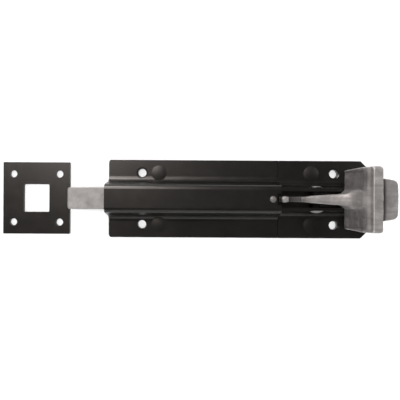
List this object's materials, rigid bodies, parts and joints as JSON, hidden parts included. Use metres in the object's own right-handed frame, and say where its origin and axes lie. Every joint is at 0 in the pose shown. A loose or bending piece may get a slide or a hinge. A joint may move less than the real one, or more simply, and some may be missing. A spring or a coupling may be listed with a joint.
{
  "type": "toggle bolt latch",
  "caption": "Square sliding bolt in a pressed steel case with an open lever guide, a cast T tread, a toggling catch and a loose keep plate.",
  "frame": {"origin": "centre of the backplate's rear face, which lies against the door", "axes": "+Z away from the door, -X the way the bolt shoots, +Y across the case"},
  "size_m": [0.3642, 0.075, 0.0648],
  "materials": {
    "black_paint": "semi-gloss black stoved paint on pressed steel",
    "zinc_plate": "dull zinc plate",
    "cast_grey": "rough galvanised casting",
    "spring_steel": "oiled spring steel"
  },
  "bodies": {
    "casing": {"backplate": "black_paint", "cover": "black_paint", "cheek_left": "black_paint", "cheek_right": "black_paint", "case_rivets": "black_paint", "stop_block": "black_paint", "stop_rivet": "zinc_plate", "drag_spring": "spring_steel", "drag_rivet": "zinc_plate", "cross_pin": "zinc_plate", "cross_pin_washer": "black_paint"},
    "bolt": {"bolt_bar": "zinc_plate", "link_pin": "zinc_plate", "draw_link": "black_paint", "draw_rivets": "cast_grey", "tread_lever": "cast_grey", "catch_pin": "zinc_plate"},
    "catch": {"catch_blade": "cast_grey", "friction_washers": "spring_steel", "catch_pad": "cast_grey", "pad_rivets": "cast_grey"},
    "keep": {"keep_plate": "black_paint"}
  },
  "joints": [
    {"name": "bolt_slide", "type": "slide", "parent": "casing", "child": "bolt", "axis": [1, 0, 0], "range_m": [0, 0.03]},
    {"name": "catch_hinge", "type": "hinge", "parent": "bolt", "child": "catch", "pos_m": [0.1066, 0, 0.0266], "axis": [0, 1, 0], "range_deg": [-4, 0]},
    {"name": "keep_slide", "type": "slide", "parent": "casing", "child": "keep", "axis": [-1, 0, 0], "range_m": [0, 0.04]}
  ]
}
